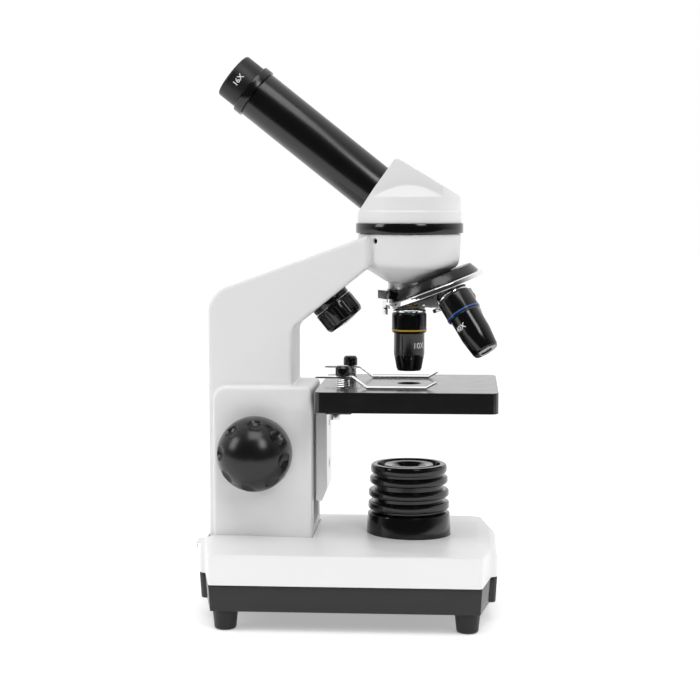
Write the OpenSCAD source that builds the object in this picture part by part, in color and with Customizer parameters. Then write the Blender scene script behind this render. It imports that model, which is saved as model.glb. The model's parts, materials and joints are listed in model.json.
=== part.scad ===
// Student microscope with a revolving nosepiece, built as separate pieces.
// Shapes are drawn about the optical axis, then moved so that the footprint is centred.

/* [Frame] */
// Distance from the middle of the footprint to the optical axis
optical_x = 32.35; // [32:0.01:33]
// Roundness of the curved solids
smooth = 96; // [48:8:128]

/* [Base] */
// Half of the width of the base
base_half_width = 56; // [54:0.5:58]
// Height of the rubber feet
foot_height = 10.4; // [10:0.1:13]
// Height at which the black plate meets the white shell
seam_z = 23.5; // [22:0.5:25]
// Radius of a foot at its top
foot_radius = 6.3; // [5.5:0.1:7]
// Wall thickness of the moulded base
base_wall = 2.5; // [2:0.1:3]

/* [Arm] */
// Half of the thickness of the arm
arm_half_width = 21; // [19:0.5:22]
// Half of the thickness of the focus housing
housing_half_width = 25; // [23:0.5:26]
// Height of the top of the focus housing
housing_top_z = 117.5; // [116:0.5:119]
// Height of the top of the arm's round head
arm_top_z = 193.8; // [192:0.1:194]

/* [Head] */
// Radius of the white head
head_radius = 26.3; // [25:0.1:27]
// Height at which the eyepiece tube's axis crosses the optical axis
tube_cross_z = 202.4; // [201:0.1:204]
// Angle of the eyepiece tube above the horizontal
tube_rise = 38.6; // [36:0.1:42]
// Outside radius of the eyepiece tube
tube_radius = 12.5; // [12.5:0.1:13]
// Distance along the tube from the crossing point to the tube's end
tube_end = 99.2; // [96:0.1:104]
// Radius of the eyepiece barrel
barrel_radius = 11.6; // [11.6:0.01:11.61]

/* [Nosepiece] */
// Tilt of the nosepiece axis from the vertical, and of each objective from that axis
turret_tilt = 21; // [20:0.5:22]
// Height at which the nosepiece axis crosses the optical axis
turret_z = 199; // [198:0.5:200]
// Radius of the chrome rim
rim_radius = 26.2; // [25.5:0.1:26.5]

/* [Stage] */
// Length and width of the stage
stage_size = 90; // [88:1:90]
// Height of the top of the stage
stage_top_z = 117.4; // [116.5:0.1:117.5]
// Depth of the stage's edge
stage_depth = 10.3; // [9:0.1:11]
// Distance of the specimen clips from the middle
clip_y = 27.4; // [26:0.2:29]

/* [Focus] */
// Position of the focus shaft behind the optical axis
shaft_x = -75.9; // [-76.5:0.1:-74.5]
// Height of the focus shaft
shaft_z = 84.7; // [84:0.1:86]
// Number of teeth on the pinion
pinion_teeth = 12; // [12:1:12]
// Tooth module of the rack and pinion
tooth_module = 1; // [1:1:1]
// Radius of the focus knobs
knob_radius = 18.7; // [17:0.1:20]

/* [Hidden] */

$fn = smooth;
// A small overlap that keeps cuts clean
eps = 0.05;
// Radial clearance of a running fit
running = 0.05;

// Plan of the base, from its rear face to its front face
base_rear_x = -104.8;
base_front_x = 45.3;
side_rear_x = -95.9;
side_front_x = 37.5;
// Height of the top of the base's side walls
side_top_z = 38.4;
// Slope of the base's raised middle, which falls towards the front
plateau_rear = [-98.2, 42.8, 21];
plateau_front = [35.6, 39.3, 33];
// Floors of the two pockets in the base's top
arm_seat_z = 40.5;
lamp_seat_z = 38.5;
// Inside of the base, under the pockets
base_roof_z = 36;
plate_floor = 2.5;

// Places of the feet and of the screws that hold the arm
foot_places = [for (x = [-88.9, 30.5], y = [-46, 46]) [x, y]];
arm_screw_places = [for (x = [-88, -64], y = [-19, 19]) [x, y]];
foot_screw_radius = 1.5;
arm_screw_radius = 2;
// Depth of the hole under a foot that takes its screw's head
foot_bore = 6;

// Power jack at the rear
jack_z = 31;
jack_tip_x = -110;

// Arm outline, in X and Z
arm_rear_x = -100.5;
arm_inner_x = -58;
housing_rear_x = -97.8;
housing_front_x = -47.9;
arm_rise = 19.6;
throat_slope = 38.9;
arm_corner = [-86.5, 154.3];
arm_corner_radius = 14;
throat_corner = [-52, 143.65];
throat_corner_radius = 6;
neck_radius = 10.8;
neck_top_z = 169.3;

// Slot in the focus housing, and the slide that runs in it
slot_half_width = 14.2;
slot_rear_x = -69.2;
slot_bottom_z = 46;
slot_top_z = 114;
rail_inner_y = 8.3;
rail_front_x = -50;
rail_rear_x = -57.7;
slide_front_x = -46.6;
slide_rear_x = -66;
slide_bottom_z = 66;
slide_top_z = 110;
carriage_bottom_z = 58.4;
carriage_front_x = -41;
// Heights of the carriage's screws, and the depth that their heads are sunk
carriage_screw_heights = [76, 98];
carriage_bore = 2;
stage_bottom_z = stage_top_z - stage_depth;

// Rack and pinion
pitch_radius = pinion_teeth * tooth_module / 2;
pressure_angle = 20;
base_circle = pitch_radius * cos(pressure_angle);
pinion_tip = pitch_radius + tooth_module;
pinion_root = pitch_radius - 0.95 * tooth_module;
// Tooth thickness at the pitch line, with backlash taken off
tooth_thickness = PI * tooth_module / 2 - 0.2;
rack_line_x = shaft_x + pitch_radius;
shaft_radius = 3;

// Head and swivel
swivel_bottom_z = 194.1;
swivel_top_z = 199.3;
socket_radius = 20;
socket_bottom_z = 185;
lock_screw_turn = 230.6;

// Distances along the nosepiece axis from the point where it crosses the optical axis
cup_start = 29.6;
cup_end = 34.2;
rim_start = 34.5;
rim_end = 37.5;
cone_end = 40.9;
revolver_end = 44.8;
seat = 44.9;
thread_radius = 7;
boss_radius = 7.9;
// Turn of the click spring and its tab towards the near side
click_turn = 25;
// Width of the coloured band round each objective
band_width = 0.9;
pivot_radius = 3;

// Upper lamp, on the slanted underside of the arm
lamp_x = -41;
lamp_z = 160.18;
lamp_turn = 141.18;
collar_height = 2.6;
barrel_height = 14.5;
stub_height = 8;
flute_count = 12;
flute_radius = 2.6;

// Stage fittings
stage_screw_places = [for (y = [-20, 20]) [-36.3, y]];
stage_skin = 3.5;
stage_wall = 3;
bracket_depth = 3.2;
post_x = -32;
post_radius = 2;
strip_width = 6.6;
strip_thickness = 0.8;
diaphragm_x = 15;

// Points of an arc in a plane
function arc(centre, radius, from, to, steps = 8) =
    [for (i = [0:steps]) let (a = from + (to - from) * i / steps)
        [centre[0] + radius * cos(a), centre[1] + radius * sin(a)]];

// Angle that an involute has turned at a radius
function involute_turn(radius) =
    let (a = acos(base_circle / radius)) tan(a) * 180 / PI - a;

// Half of the angle that a pinion tooth takes at a radius
function half_tooth(radius) =
    90 * tooth_thickness / (PI * pitch_radius) + involute_turn(pitch_radius)
    - involute_turn(max(radius, base_circle));

// Moves a shape drawn about the optical axis to its place
module placed() {
    translate([optical_x, 0, 0]) children();
}

// Frame whose +Z runs out along the eyepiece tube
module on_tube() {
    placed() translate([0, 0, tube_cross_z]) rotate([0, tube_rise - 90, 0]) children();
}

// Frame whose +Z runs down the nosepiece axis
module on_turret() {
    placed() translate([0, 0, turret_z]) rotate([0, 180 - turret_tilt, 0]) children();
}

// Frame whose +Z runs down one objective's axis
module on_objective(number) {
    on_turret() rotate([0, 0, -120 * number]) rotate([0, turret_tilt, 0]) children();
}

// Frame whose +Z runs out along the upper lamp
module on_upper_lamp() {
    placed() translate([lamp_x, 0, lamp_z]) rotate([0, lamp_turn, 0]) children();
}

// Frame whose +Z runs outwards along the focus shaft, on the near (-1) or far (+1) side
module on_shaft(side) {
    placed() translate([shaft_x, 0, shaft_z]) rotate([-90 * side, 0, 0]) children();
}

// Outline in X and Z, given a thickness in Y
module upright(half_width) {
    rotate([90, 0, 0]) linear_extrude(2 * half_width, center = true) children();
}

// A screw with its head's underside at z = 0, its shank up and its head down
module screw(head_radius, head_height, shank_radius, shank_length) {
    difference() {
        union() {
            translate([0, 0, -head_height]) cylinder(r = head_radius, h = head_height);
            translate([0, 0, -eps]) cylinder(r = shank_radius, h = shank_length + eps);
        }
        translate([0, 0, -head_height - eps])
            cylinder(r = shank_radius * 0.8, h = head_height * 0.6, $fn = 6);
    }
}

// Helical spring swept along +Z from z = 0
module coil(radius, wire_radius, height, turns, steps = 14, sides = 6) {
    count = turns * steps;
    rise = height - 2 * wire_radius;
    rings = [for (i = [0:count], s = [0:sides - 1])
        let (
            a = 360 * i / steps,
            b = 360 * s / sides,
            r = radius + wire_radius * cos(b))
        [r * cos(a), r * sin(a), wire_radius + rise * i / count + wire_radius * sin(b)]];
    walls = [for (i = [0:count - 1], s = [0:sides - 1])
        let (n = (s + 1) % sides)
        [i * sides + s, (i + 1) * sides + s, (i + 1) * sides + n, i * sides + n]];
    ends = [[for (s = [0:sides - 1]) s], [for (s = [sides - 1:-1:0]) count * sides + s]];
    polyhedron(rings, concat(walls, ends));
}

// Near half of the base's plan, pulled in by an amount, with a shallow step at each end
function base_side(inset) = [
    [base_rear_x + inset, -26.5 + inset], [base_rear_x + 1.5 + inset, -28 + inset],
    [base_rear_x + 3.2 + inset, -28.4 + inset],
    [side_rear_x + 0.6 * inset, -base_half_width + inset],
    [side_front_x - 0.6 * inset, -base_half_width + inset],
    [base_front_x - 3.1 - inset, -28.5 + inset], [base_front_x - 1.1 - inset, -28 + inset],
    [base_front_x - inset, -26.5 + inset]];

// Plan of the base, pulled in by an amount on every side
module base_plan(inset = 0) {
    near = base_side(inset);
    polygon(concat(near, [for (i = [len(near) - 1:-1:0]) [near[i][0], -near[i][1]]]));
}

// Solid outer form of the white part of the base
module base_form() {
    intersection() {
        translate([0, 0, seam_z]) linear_extrude(25) base_plan();
        hull() {
            translate([0, 0, seam_z]) linear_extrude(side_top_z - 1.5 - seam_z) base_plan();
            translate([0, 0, side_top_z - 1.5]) linear_extrude(1.2) base_plan(1);
            for (p = [plateau_rear, plateau_front])
                translate([p[0], 0, p[1] - 0.5]) cube([0.2, 2 * p[2], 1], center = true);
        }
    }
}

module base_shell() {
    color("whitesmoke") placed() difference() {
        union() {
            difference() {
                base_form();
                translate([0, 0, seam_z - eps])
                    linear_extrude(base_roof_z - seam_z + eps) base_plan(base_wall);
            }
            for (p = foot_places)
                translate([p[0], p[1], seam_z]) cylinder(r = 4, h = base_roof_z - seam_z + 1);
        }
        for (p = foot_places)
            translate([p[0], p[1], seam_z - eps]) cylinder(r = foot_screw_radius, h = 10);
        for (p = arm_screw_places)
            translate([p[0], p[1], seam_z]) cylinder(r = arm_screw_radius + 0.2, h = 20);
        translate([arm_rear_x, -housing_half_width, arm_seat_z])
            cube([housing_front_x - arm_rear_x, 2 * housing_half_width, 10]);
        translate([0, 0, lamp_seat_z]) cylinder(r = 21.7, h = 10);
        translate([0, 0, seam_z]) cylinder(r = 5, h = 20);
        translate([jack_tip_x, 0, jack_z]) rotate([0, 90, 0]) cylinder(r = 4, h = 12);
        translate([-40, base_half_width - 8, 27]) cube([16.4, 20, 10.4]);
    }
}

module base_plate() {
    color([0.07, 0.07, 0.08]) placed() difference() {
        translate([0, 0, foot_height]) linear_extrude(seam_z - foot_height) base_plan();
        translate([0, 0, foot_height + plate_floor])
            linear_extrude(seam_z) base_plan(base_wall + 0.5);
        translate([-62, -27, foot_height - eps]) cube([64, 54, plate_floor + 2 * eps]);
        for (p = foot_places)
            translate([p[0], p[1], foot_height - eps])
                cylinder(r = foot_screw_radius + 0.1, h = plate_floor + 2 * eps);
    }
}

module rubber_feet() {
    color([0.12, 0.12, 0.13]) placed() for (p = foot_places)
        translate([p[0], p[1], 0]) difference() {
            rotate_extrude() polygon(concat(
                [[0, 0]],
                arc([foot_radius - 2, 1.2], 1.2, -90, 0, 5),
                [[foot_radius, foot_height - 1.5], [foot_radius, foot_height], [0, foot_height]]));
            translate([0, 0, -eps]) cylinder(r = 3.2, h = foot_bore + eps);
            cylinder(r = foot_screw_radius + 0.1, h = foot_height + 1);
        }
}

module foot_screws() {
    color("silver") placed() for (p = foot_places)
        translate([p[0], p[1], foot_bore]) screw(2.8, 2, foot_screw_radius, 26);
}

// Inside of the battery tray, which takes three cells side by side
tray_x = -60;
tray_length = 60;
tray_half_width = 24.5;
tray_z = foot_height + plate_floor;
cell_radius = 7.1;
cell_length = 50.5;
cell_pitch = 15.2;
cell_z = tray_z + cell_radius + 0.8;

module battery_tray() {
    color([0.15, 0.15, 0.16]) placed() difference() {
        translate([tray_x, -tray_half_width, tray_z]) cube([tray_length, 2 * tray_half_width, 17.5]);
        translate([tray_x + 1.5, -tray_half_width + 1.5, tray_z - eps])
            cube([tray_length - 3, 2 * tray_half_width - 3, 16]);
    }
}

module batteries() {
    color([0.25, 0.3, 0.35]) placed() for (i = [-1:1])
        translate([tray_x + tray_length / 2, i * cell_pitch, cell_z])
            rotate([0, i == 0 ? -90 : 90, 0]) translate([0, 0, -cell_length / 2]) {
                cylinder(r = cell_radius, h = cell_length - 1);
                cylinder(r = 2.7, h = cell_length);
            }
}

module battery_springs() {
    color("silver") placed() for (i = [-1:1])
        translate([tray_x + tray_length / 2, i * cell_pitch, cell_z])
            rotate([0, i == 0 ? 90 : -90, 0]) translate([0, 0, cell_length / 2 + 0.05])
                coil(3, 0.35, 2.9, 3);
}

module battery_cover() {
    color([0.07, 0.07, 0.08]) placed() {
        translate([-61.8, -26.8, foot_height]) cube([63.6, 53.6, plate_floor]);
        for (y = [-18, 0, 18])
            translate([-56, y - 3, foot_height - 0.6]) cube([10, 6, 0.7]);
    }
}

module control_board() {
    color("darkgreen") placed() {
        translate([6, -22, 26]) cube([30, 44, 1.6]);
        for (y = [-14, -4, 8]) translate([12, y, 27.6 - eps]) cube([9, 6, 2.4]);
        translate([28, 12, 27.6 - eps]) cylinder(r = 3.2, h = 6);
        for (y = [-19, 19]) translate([21, y, tray_z]) cylinder(r = 2.5, h = 26 - tray_z + eps);
    }
}

// Rocker on the far side; its pin lies along X
switch_x = -31.8;
switch_z = 32.2;

module light_switch() {
    color([0.05, 0.05, 0.05]) placed() intersection() {
        translate([switch_x, base_half_width - 5, switch_z]) rotate([0, 90, 0])
            cylinder(r = 4.9, h = 15.6, center = true);
        translate([switch_x - 7.8, base_half_width - 7, switch_z - 4.4]) cube([15.6, 8.2, 8.8]);
    }
}

module power_jack() {
    color([0.1, 0.1, 0.1]) placed() difference() {
        union() {
            translate([base_rear_x + base_wall, -5, jack_z - 4.5]) cube([11, 10, 9]);
            translate([jack_tip_x, 0, jack_z]) rotate([0, 90, 0])
                cylinder(r = 3.8, h = base_rear_x + base_wall - jack_tip_x + eps);
        }
        translate([jack_tip_x - eps, 0, jack_z]) rotate([0, 90, 0]) difference() {
            cylinder(r = 2.75, h = 12);
            cylinder(r = 0.9, h = 12);
        }
    }
}

module jack_nut() {
    color("silver") placed() translate([base_rear_x, 0, jack_z]) rotate([0, -90, 0]) difference() {
        union() {
            cylinder(r = 5.2, h = 1);
            cylinder(r = 4.8, h = 4.6, $fn = 6);
        }
        translate([0, 0, -eps]) cylinder(r = 3.8, h = 6);
    }
}

// Half-space below the nosepiece's mounting face
module below_nosepiece_face() {
    on_turret() translate([0, 0, cup_start]) cylinder(r = 45, h = 40);
}

module arm() {
    color("whitesmoke") difference() {
        placed() union() {
            upright(arm_half_width) polygon(concat(
                [[arm_rear_x, arm_seat_z]],
                arc(arm_corner, arm_corner_radius, 180, 90 + arm_rise),
                [[-20, arm_top_z - 0.5], [-20, 177.1]],
                arc(throat_corner, throat_corner_radius, 90 + throat_slope, 180),
                [[arm_inner_x, arm_seat_z]]));
            upright(housing_half_width) polygon(concat(
                [[housing_rear_x, arm_seat_z]],
                arc([housing_rear_x + 7, housing_top_z - 7], 7, 180, 90),
                arc([housing_front_x - 2.5, housing_top_z - 2.5], 2.5, 90, 0, 4),
                [[housing_front_x, arm_seat_z]]));
            rotate_extrude() polygon([
                [0, neck_top_z], [11.2, neck_top_z], [21.5, 175.8], [23.6, 176.9], [24.8, 178.4],
                [25.4, 180.4], [26.2, arm_top_z], [0, arm_top_z]]);
        }
        placed() {
            translate([0, 0, socket_bottom_z]) cylinder(r = socket_radius, h = 10);
            translate([0, 0, neck_top_z - 5]) cylinder(r = 5, h = 30);
            rotate([0, 0, lock_screw_turn]) translate([15, 0, swivel_bottom_z - 3.6])
                rotate([0, 90, 0]) cylinder(r = 1.5, h = 15);
            translate([slot_rear_x, -slot_half_width, slot_bottom_z])
                cube([
                    housing_front_x - slot_rear_x + 1, 2 * slot_half_width,
                    slot_top_z - slot_bottom_z]);
            translate([rack_line_x - 2, -5, slot_bottom_z + 14])
                cube([8, 10, slot_top_z - slot_bottom_z - 16]);
            translate([shaft_x, 0, shaft_z]) upright(5) circle(r = pinion_tip + 0.8);
            translate([shaft_x, 0, shaft_z]) rotate([90, 0, 0])
                cylinder(r = 6, h = 3 * housing_half_width, center = true);
            upright(16) polygon([
                [-97.5, arm_seat_z - 1], [-97.5, 152], [-90, 158], [-60, 168.5], [-60, 164], [-88, 150],
                [-88, arm_seat_z - 1]]);
            for (p = arm_screw_places)
                translate([p[0], p[1], arm_seat_z - 1]) cylinder(r = arm_screw_radius, h = 16);
        }
        on_upper_lamp() translate([0, 0, -20]) cylinder(r = 2, h = 30);
        below_nosepiece_face();
        on_turret() translate([0, 0, cup_start - 6]) cylinder(r = pivot_radius, h = 10);
    }
}

module arm_screws() {
    color("silver") placed() for (p = arm_screw_places)
        translate([p[0], p[1], base_roof_z]) screw(3.5, 2.5, arm_screw_radius, 18);
}

module shaft_bushes() {
    color("goldenrod") for (side = [-1, 1]) on_shaft(side) difference() {
        union() {
            translate([0, 0, 6.3]) cylinder(r = 6, h = housing_half_width - 6);
            translate([0, 0, housing_half_width]) cylinder(r = 8.5, h = 1.2);
        }
        cylinder(r = shaft_radius + running, h = 40);
    }
}

module guide_rails() {
    color("silver") placed() for (side = [-1, 1])
        translate([
            rail_rear_x, side > 0 ? rail_inner_y : -slot_half_width, slot_bottom_z])
            cube([
                rail_front_x - rail_rear_x, slot_half_width - rail_inner_y,
                slot_top_z - slot_bottom_z]);
}

module head_lock_screw() {
    color("dimgray") placed() rotate([0, 0, lock_screw_turn])
        translate([socket_radius + 0.2, 0, swivel_bottom_z - 3.6]) rotate([0, 90, 0])
            difference() {
                cylinder(r = 1.5, h = 4.6);
                translate([0, 0, 2.6]) cylinder(r = 0.9, h = 3, $fn = 6);
            }
}

// Outline points of one cooling fin between two heights
function fin(radius, low, high) = [
    [17.7, low], [radius - 0.9, low], [radius - 0.25, low + 0.3], [radius, low + 0.9],
    [radius, high - 0.9], [radius - 0.25, high - 0.3], [radius - 0.9, high], [17.7, high]];

lamp_top_z = 76;
lamp_roof_z = 70;
lamp_hole = 4.9;

module lamp_housing() {
    color([0.05, 0.05, 0.055]) placed() difference() {
        rotate_extrude() polygon(concat(
            [[0, lamp_seat_z], [21.6, lamp_seat_z], [21.6, 40.5], [21.15, 50.6], [20.4, 51.4],
                [17.7, 51.4]],
            fin(20.9, 53, 57),
            fin(20.75, 59.2, 63.2),
            fin(20.2, 65.9, 69.9),
            [[17.7, 71.5], [18.9, 71.5], [19.6, 72.2], [19.6, 75.3], [18.9, lamp_top_z],
                [16.4, lamp_top_z], [15.8, 74], [13, 74], [12.5, 75.6], [8.5, 75.6],
                [lamp_hole + 0.6, 73.6], [0, 73.6]]));
        translate([0, 0, lamp_seat_z - eps]) cylinder(r = 15, h = lamp_roof_z - lamp_seat_z);
        cylinder(r = lamp_hole, h = 100);
    }
}

module lamp_board() {
    color("beige") placed() {
        translate([0, 0, 52]) cylinder(r = 12, h = 1.6);
        translate([0, 0, 53.6 - eps]) cylinder(r = 2.5, h = 3);
        translate([0, 0, 56.5]) sphere(r = 2.5);
        for (turn = [0:120:240]) rotate([0, 0, turn])
            translate([9, 0, lamp_seat_z]) cylinder(r = 1.8, h = 13.5 + eps);
    }
}

// Plano-convex lens on z = 0, made from a disc and a dome
module lens(radius, edge, crown) {
    ball = (radius * radius + crown * crown) / (2 * crown);
    intersection() {
        cylinder(r = radius, h = edge + crown);
        translate([0, 0, edge + crown - ball]) sphere(r = ball);
    }
}

module collector_lens() {
    color("lightcyan") placed() translate([0, 0, lamp_roof_z - 4.6]) lens(10, 2, 2.5);
}

module upper_lamp_collar() {
    color([0.08, 0.08, 0.08]) on_upper_lamp() {
        cylinder(r = 10.5, h = collar_height);
        cylinder(r = 9.8, h = collar_height + 0.2);
        cylinder(r = 3, h = stub_height);
    }
}

module upper_lamp_led() {
    color("lightyellow") on_upper_lamp() {
        translate([0, 0, stub_height]) cylinder(r = 2.4, h = 1.5);
        translate([0, 0, stub_height + 2]) sphere(r = 1.9);
    }
}

module upper_lamp_barrel() {
    color([0.07, 0.07, 0.07]) on_upper_lamp() difference() {
        translate([0, 0, collar_height + 0.3]) rotate_extrude() polygon([
            [0, 0], [10.8, 0], [10.8, barrel_height - 2.2], [10, barrel_height - 0.6],
            [9, barrel_height - 0.3], [0, barrel_height - 0.3]]);
        cylinder(r = 3 + running, h = 12);
        translate([0, 0, 7.4]) cylinder(r = 7.6, h = 12);
        for (i = [0:flute_count - 1]) rotate([0, 0, 360 * i / flute_count])
            translate([9.7 + flute_radius, 0, collar_height + 2.6])
                cylinder(r = flute_radius, h = barrel_height - collar_height - 4.8);
    }
}

module upper_lamp_lens() {
    color("aliceblue") on_upper_lamp() translate([0, 0, 12.6]) lens(7.6, 1.4, 1.2);
}

module nosepiece_collar() {
    color("silver") difference() {
        placed() translate([0, 0, 165.7]) cylinder(r = neck_radius, h = neck_top_z - 165.7);
        placed() cylinder(r = 5, h = 200);
        below_nosepiece_face();
        on_turret() translate([0, 0, cup_start - 6]) cylinder(r = pivot_radius, h = 10);
    }
}

// The black cup's outside, a flaring disc on the nosepiece axis
module cup_form() {
    on_turret() translate([0, 0, cup_start])
        cylinder(r1 = 21.75, r2 = 24.4, h = cup_end - cup_start);
}

module nosepiece_base() {
    color([0.1, 0.1, 0.1]) difference() {
        cup_form();
        placed() cylinder(r = 5.4, h = 200);
        on_turret() cylinder(r = pivot_radius, h = 60);
    }
}

module nosepiece_bracket() {
    color([0.06, 0.06, 0.06]) difference() {
        placed() union() {
            translate([0, 0, 161]) cylinder(r = 11.4, h = 4.7);
            rotate([0, 0, click_turn]) translate([-14.9, -6, 161]) cube([12, 12, 4.2]);
        }
        placed() cylinder(r = 5, h = 200);
        on_turret() translate([0, 0, cup_start]) cylinder(r = 21.75, h = 12);
        cup_form();
        on_turret() translate([0, 0, cup_start - 6]) cylinder(r = pivot_radius, h = 10);
    }
}

module click_spring() {
    color("silver") placed() rotate([0, 0, click_turn]) {
        translate([-13.7, -3.2, 153]) cube([0.5, 6.4, 8]);
        translate([-13.6, 0, 156]) rotate([90, 0, 0]) cylinder(r = 0.8, h = 4, center = true);
    }
}

module pivot_screw() {
    color("silver") on_turret() difference() {
        union() {
            translate([0, 0, cup_start - 5]) cylinder(r = pivot_radius, h = revolver_end - cup_start + 6);
            translate([0, 0, revolver_end + 0.3]) cylinder(r = 5, h = 2);
        }
        translate([-6, -0.5, revolver_end + 1.3]) cube([12, 1, 2]);
    }
}

module revolver() {
    color("gainsboro") difference() {
        union() {
            on_turret() rotate_extrude() polygon([
                [0, rim_start], [rim_radius - 0.5, rim_start], [rim_radius, rim_start + 0.5],
                [rim_radius, rim_end - 0.5], [rim_radius - 0.5, rim_end], [18.6, cone_end],
                [8.3, revolver_end], [0, revolver_end]]);
            for (k = [0:2]) on_objective(k)
                translate([0, 0, seat - 4.6]) cylinder(r = boss_radius, h = 4.6);
        }
        for (k = [0:2]) on_objective(k) translate([0, 0, 25])
            cylinder(r = thread_radius + running, h = 30);
        on_turret() cylinder(r = pivot_radius + running, h = 60);
        on_turret() translate([0, 0, revolver_end]) cylinder(r = 5.3, h = 10);
    }
}

// One objective: where its upper body ends, where its lower body ends, its tip and its radii
module objective(upper_end, lower_end, tip, tip_radius) {
    upper = 8.9;
    lower = 7.85;
    difference() {
        rotate_extrude() polygon([
            [0, seat - 4.5], [thread_radius, seat - 4.5], [thread_radius, seat],
            [upper - 1, seat], [upper - 0.3, seat + 0.5], [upper, seat + 1.5], [upper, upper_end],
            [8.5, upper_end], [8.5, upper_end + band_width], [8.8, upper_end + band_width],
            [8.8, upper_end + 1.6], [lower, upper_end + 2.1], [lower, lower_end],
            [tip_radius + 0.4, tip - 1],
            [tip_radius, tip - 0.4], [tip_radius, tip], [0, tip]]);
        translate([0, 0, seat - 5]) cylinder(r = 5, h = tip - seat + 3);
        translate([0, 0, seat]) cylinder(r = 3.2, h = 60);
    }
}

// Upper end, lower end, tip and tip radius of each objective, in the order 10x, 40x, 4x
objectives = [[53.7, 66.6, 74.9, 6.05], [54.7, 68, 77.9, 6.3], [51, 58.5, 65, 6.5]];

module objective_10x() {
    color([0.04, 0.04, 0.04]) on_objective(0)
        objective(objectives[0][0], objectives[0][1], objectives[0][2], objectives[0][3]);
}

module objective_40x() {
    color([0.04, 0.04, 0.04]) on_objective(1)
        objective(objectives[1][0], objectives[1][1], objectives[1][2], objectives[1][3]);
}

module objective_4x() {
    color([0.04, 0.04, 0.04]) on_objective(2)
        objective(objectives[2][0], objectives[2][1], objectives[2][2], objectives[2][3]);
}

module objective_bands() {
    color("gold") for (k = [0:2]) on_objective(k) translate([0, 0, objectives[k][0]]) difference() {
        cylinder(r = 9.1, h = band_width);
        translate([0, 0, -eps]) cylinder(r = 8.5, h = 2);
    }
}

module objective_lenses() {
    color("lightcyan") for (k = [0:2]) on_objective(k)
        translate([0, 0, objectives[k][2] - 1.8]) cylinder(r = 3.2, h = 1.2);
}

// Side outline of the head above its lip, from the front slope to the rear face
module head_outline(inset = 0) {
    polygon([
        [-30, swivel_top_z], [30, swivel_top_z], [30, 210.2 - inset], [-5, 231.2 - inset * 1.2],
        [-6.6, 231.2 - inset * 1.2], [-25.4 + inset, 205.3], [-30, 205.3]]);
}

module head_shell() {
    color("whitesmoke") difference() {
        placed() intersection() {
            union() {
                translate([0, 0, swivel_top_z]) cylinder(r = head_radius, h = 212.5 - swivel_top_z);
                translate([0, 0, 212.5]) cylinder(r1 = head_radius, r2 = 11.4, h = 12.5);
                intersection() {
                    translate([0, 0, swivel_top_z]) cylinder(r = head_radius, h = 40);
                    translate([-40, -19.3, swivel_top_z]) cube([80, 38.6, 40]);
                }
            }
            upright(40) head_outline();
        }
        placed() intersection() {
            translate([0, 0, swivel_top_z - eps]) cylinder(r = head_radius - 3.5, h = 40);
            upright(16.3) head_outline(3);
        }
        on_tube() cylinder(r = tube_radius, h = 60);
    }
}

module swivel_ring() {
    color([0.04, 0.04, 0.04]) placed() translate([0, 0, swivel_bottom_z]) difference() {
        rotate_extrude() polygon([
            [16, 0], [26.7, 0], [27.3, 0.6], [27.3, 4.6], [26.7, 5.2], [16, 5.2]]);
        cylinder(r = 16, h = 20, center = true);
    }
}

module head_flange() {
    color("dimgray") placed() translate([0, 0, socket_bottom_z + 0.4]) difference() {
        cylinder(r = socket_radius - running, h = swivel_bottom_z - socket_bottom_z - 0.4);
        translate([0, 0, -eps]) cylinder(r = 8, h = 20);
    }
}

module prism() {
    color("lightcyan") placed() upright(9) polygon([
        [-9, swivel_bottom_z], [9, swivel_bottom_z], [9, 199], [-2, 214.3], [-12, 201.8]]);
}

module eyepiece_tube() {
    color([0.06, 0.06, 0.065]) on_tube() difference() {
        rotate_extrude() polygon([
            [barrel_radius + running, 18], [tube_radius, 18], [tube_radius, tube_end - 0.4],
            [tube_radius - 0.4, tube_end], [barrel_radius + running, tube_end]]);
        cylinder(r = barrel_radius + running, h = 200);
    }
}

module eyepiece_barrel() {
    color([0.08, 0.08, 0.085]) on_tube() difference() {
        rotate_extrude() polygon([
            [0, 66], [barrel_radius, 66], [barrel_radius, tube_end + 0.3], [13, tube_end + 0.3],
            [13.4, tube_end + 0.7], [13.4, tube_end + 4.4], [13, tube_end + 4.8],
            [0, tube_end + 4.8]]);
        translate([0, 0, 65]) cylinder(r = 10.4, h = 20);
        translate([0, 0, 60]) cylinder(r = 7, h = 60);
        translate([0, 0, 88]) cylinder(r = 9.6, h = 30);
    }
}

eyecup_start = tube_end + 4.8;
eyecup_end = tube_end + 15.9;

module eyecup() {
    color([0.06, 0.06, 0.06]) on_tube() difference() {
        rotate_extrude() polygon(concat(
            [[0, eyecup_start], [12, eyecup_start]],
            arc([10.9, eyecup_end - 1.1], 1.1, 0, 90, 5),
            [[10.2, eyecup_end], [9.6, eyecup_end - 1], [0, eyecup_end - 1]]));
        translate([0, 0, eyecup_start - eps]) cylinder(r = 9, h = 20);
    }
}

module eyepiece_lenses() {
    color("lightcyan") on_tube() {
        translate([0, 0, 68]) lens(10.4, 2, 2);
        translate([0, 0, eyecup_start + 1.5]) lens(9, 1.5, 2);
    }
}

module carriage() {
    color("gainsboro") placed() difference() {
        upright(15) polygon([
            [slide_front_x, carriage_bottom_z], [carriage_front_x - 2.6, carriage_bottom_z],
            [carriage_front_x, carriage_bottom_z + 6.6], [carriage_front_x, stage_bottom_z],
            [slide_front_x, stage_bottom_z]]);
        for (z = carriage_screw_heights) {
            translate([slide_front_x - 1, 0, z]) rotate([0, 90, 0])
                cylinder(r = foot_screw_radius, h = 10);
            translate([carriage_front_x - carriage_bore, 0, z]) rotate([0, 90, 0])
                cylinder(r = 2.8, h = 10);
        }
    }
}

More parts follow.
